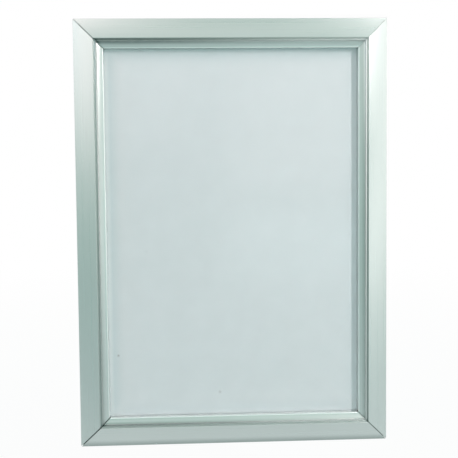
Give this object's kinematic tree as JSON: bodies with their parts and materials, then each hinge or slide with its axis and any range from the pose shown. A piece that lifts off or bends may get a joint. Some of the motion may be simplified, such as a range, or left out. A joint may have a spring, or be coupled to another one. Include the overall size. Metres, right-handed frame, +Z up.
{
  "type": "snap frame",
  "caption": "Portrait wall frame with mitred rails, hinged spring-loaded front flaps, back panel, blank insert and clear cover, for holding an A4 sheet.",
  "frame": {"origin": "centre of the frame's outline, on the plane of its back, which lies on the wall", "axes": "+Z up the portrait frame's length, -Y out of its front towards the viewer, +Y into the wall, +X to the viewer's right"},
  "size_m": [0.234, 0.0119, 0.321],
  "materials": {
    "rail_aluminium": "mill, fine drawn grain",
    "anodised_aluminium": "satin silver anodised",
    "zinc_plated_steel": "zinc plated",
    "spring_steel": "tempered, bare",
    "white_styrene": "smooth matt",
    "blank_paper": "uncoated, blank",
    "clear_sheet": "clear, low glare"
  },
  "bodies": {
    "base": {"base_rail_left": "rail_aluminium", "base_rail_top": "rail_aluminium", "base_rail_right": "rail_aluminium", "base_rail_bottom": "rail_aluminium", "corner_angle_top_left": "zinc_plated_steel", "corner_angle_top_right": "zinc_plated_steel", "corner_angle_bottom_right": "zinc_plated_steel", "corner_angle_bottom_left": "zinc_plated_steel", "set_screw_top_left_upright": "spring_steel", "set_screw_top_left_level": "spring_steel", "set_screw_top_right_upright": "spring_steel", "set_screw_top_right_level": "spring_steel", "set_screw_bottom_right_upright": "spring_steel", "set_screw_bottom_right_level": "spring_steel", "set_screw_bottom_left_upright": "spring_steel", "set_screw_bottom_left_level": "spring_steel", "leaf_spring_left_upper": "spring_steel", "leaf_spring_left_lower": "spring_steel", "leaf_spring_top_left": "spring_steel", "leaf_spring_top_right": "spring_steel", "leaf_spring_right_upper": "spring_steel", "leaf_spring_right_lower": "spring_steel", "leaf_spring_bottom_left": "spring_steel", "leaf_spring_bottom_right": "spring_steel", "back_panel": "white_styrene", "insert_sheet": "blank_paper", "cover_sheet": "clear_sheet"},
    "left_flap": {"flap_left": "anodised_aluminium"},
    "top_flap": {"flap_top": "anodised_aluminium"},
    "right_flap": {"flap_right": "anodised_aluminium"},
    "bottom_flap": {"flap_bottom": "anodised_aluminium"}
  },
  "joints": [
    {"name": "left_flap_hinge", "type": "hinge", "parent": "base", "child": "left_flap", "pos_m": [-0.11485, -0.005, 0], "axis": [0, 0, -1], "range_deg": [0, 90], "deforming": ["leaf_spring_left_upper", "leaf_spring_left_lower"]},
    {"name": "top_flap_hinge", "type": "hinge", "parent": "base", "child": "top_flap", "pos_m": [0, -0.005, 0.15835], "axis": [-1, 0, 0], "range_deg": [0, 90], "deforming": ["leaf_spring_top_left", "leaf_spring_top_right"]},
    {"name": "right_flap_hinge", "type": "hinge", "parent": "base", "child": "right_flap", "pos_m": [0.11485, -0.005, 0], "axis": [0, 0, 1], "range_deg": [0, 90], "deforming": ["leaf_spring_right_upper", "leaf_spring_right_lower"]},
    {"name": "bottom_flap_hinge", "type": "hinge", "parent": "base", "child": "bottom_flap", "pos_m": [0, -0.005, -0.15835], "axis": [1, 0, 0], "range_deg": [0, 90], "deforming": ["leaf_spring_bottom_left", "leaf_spring_bottom_right"]}
  ]
}
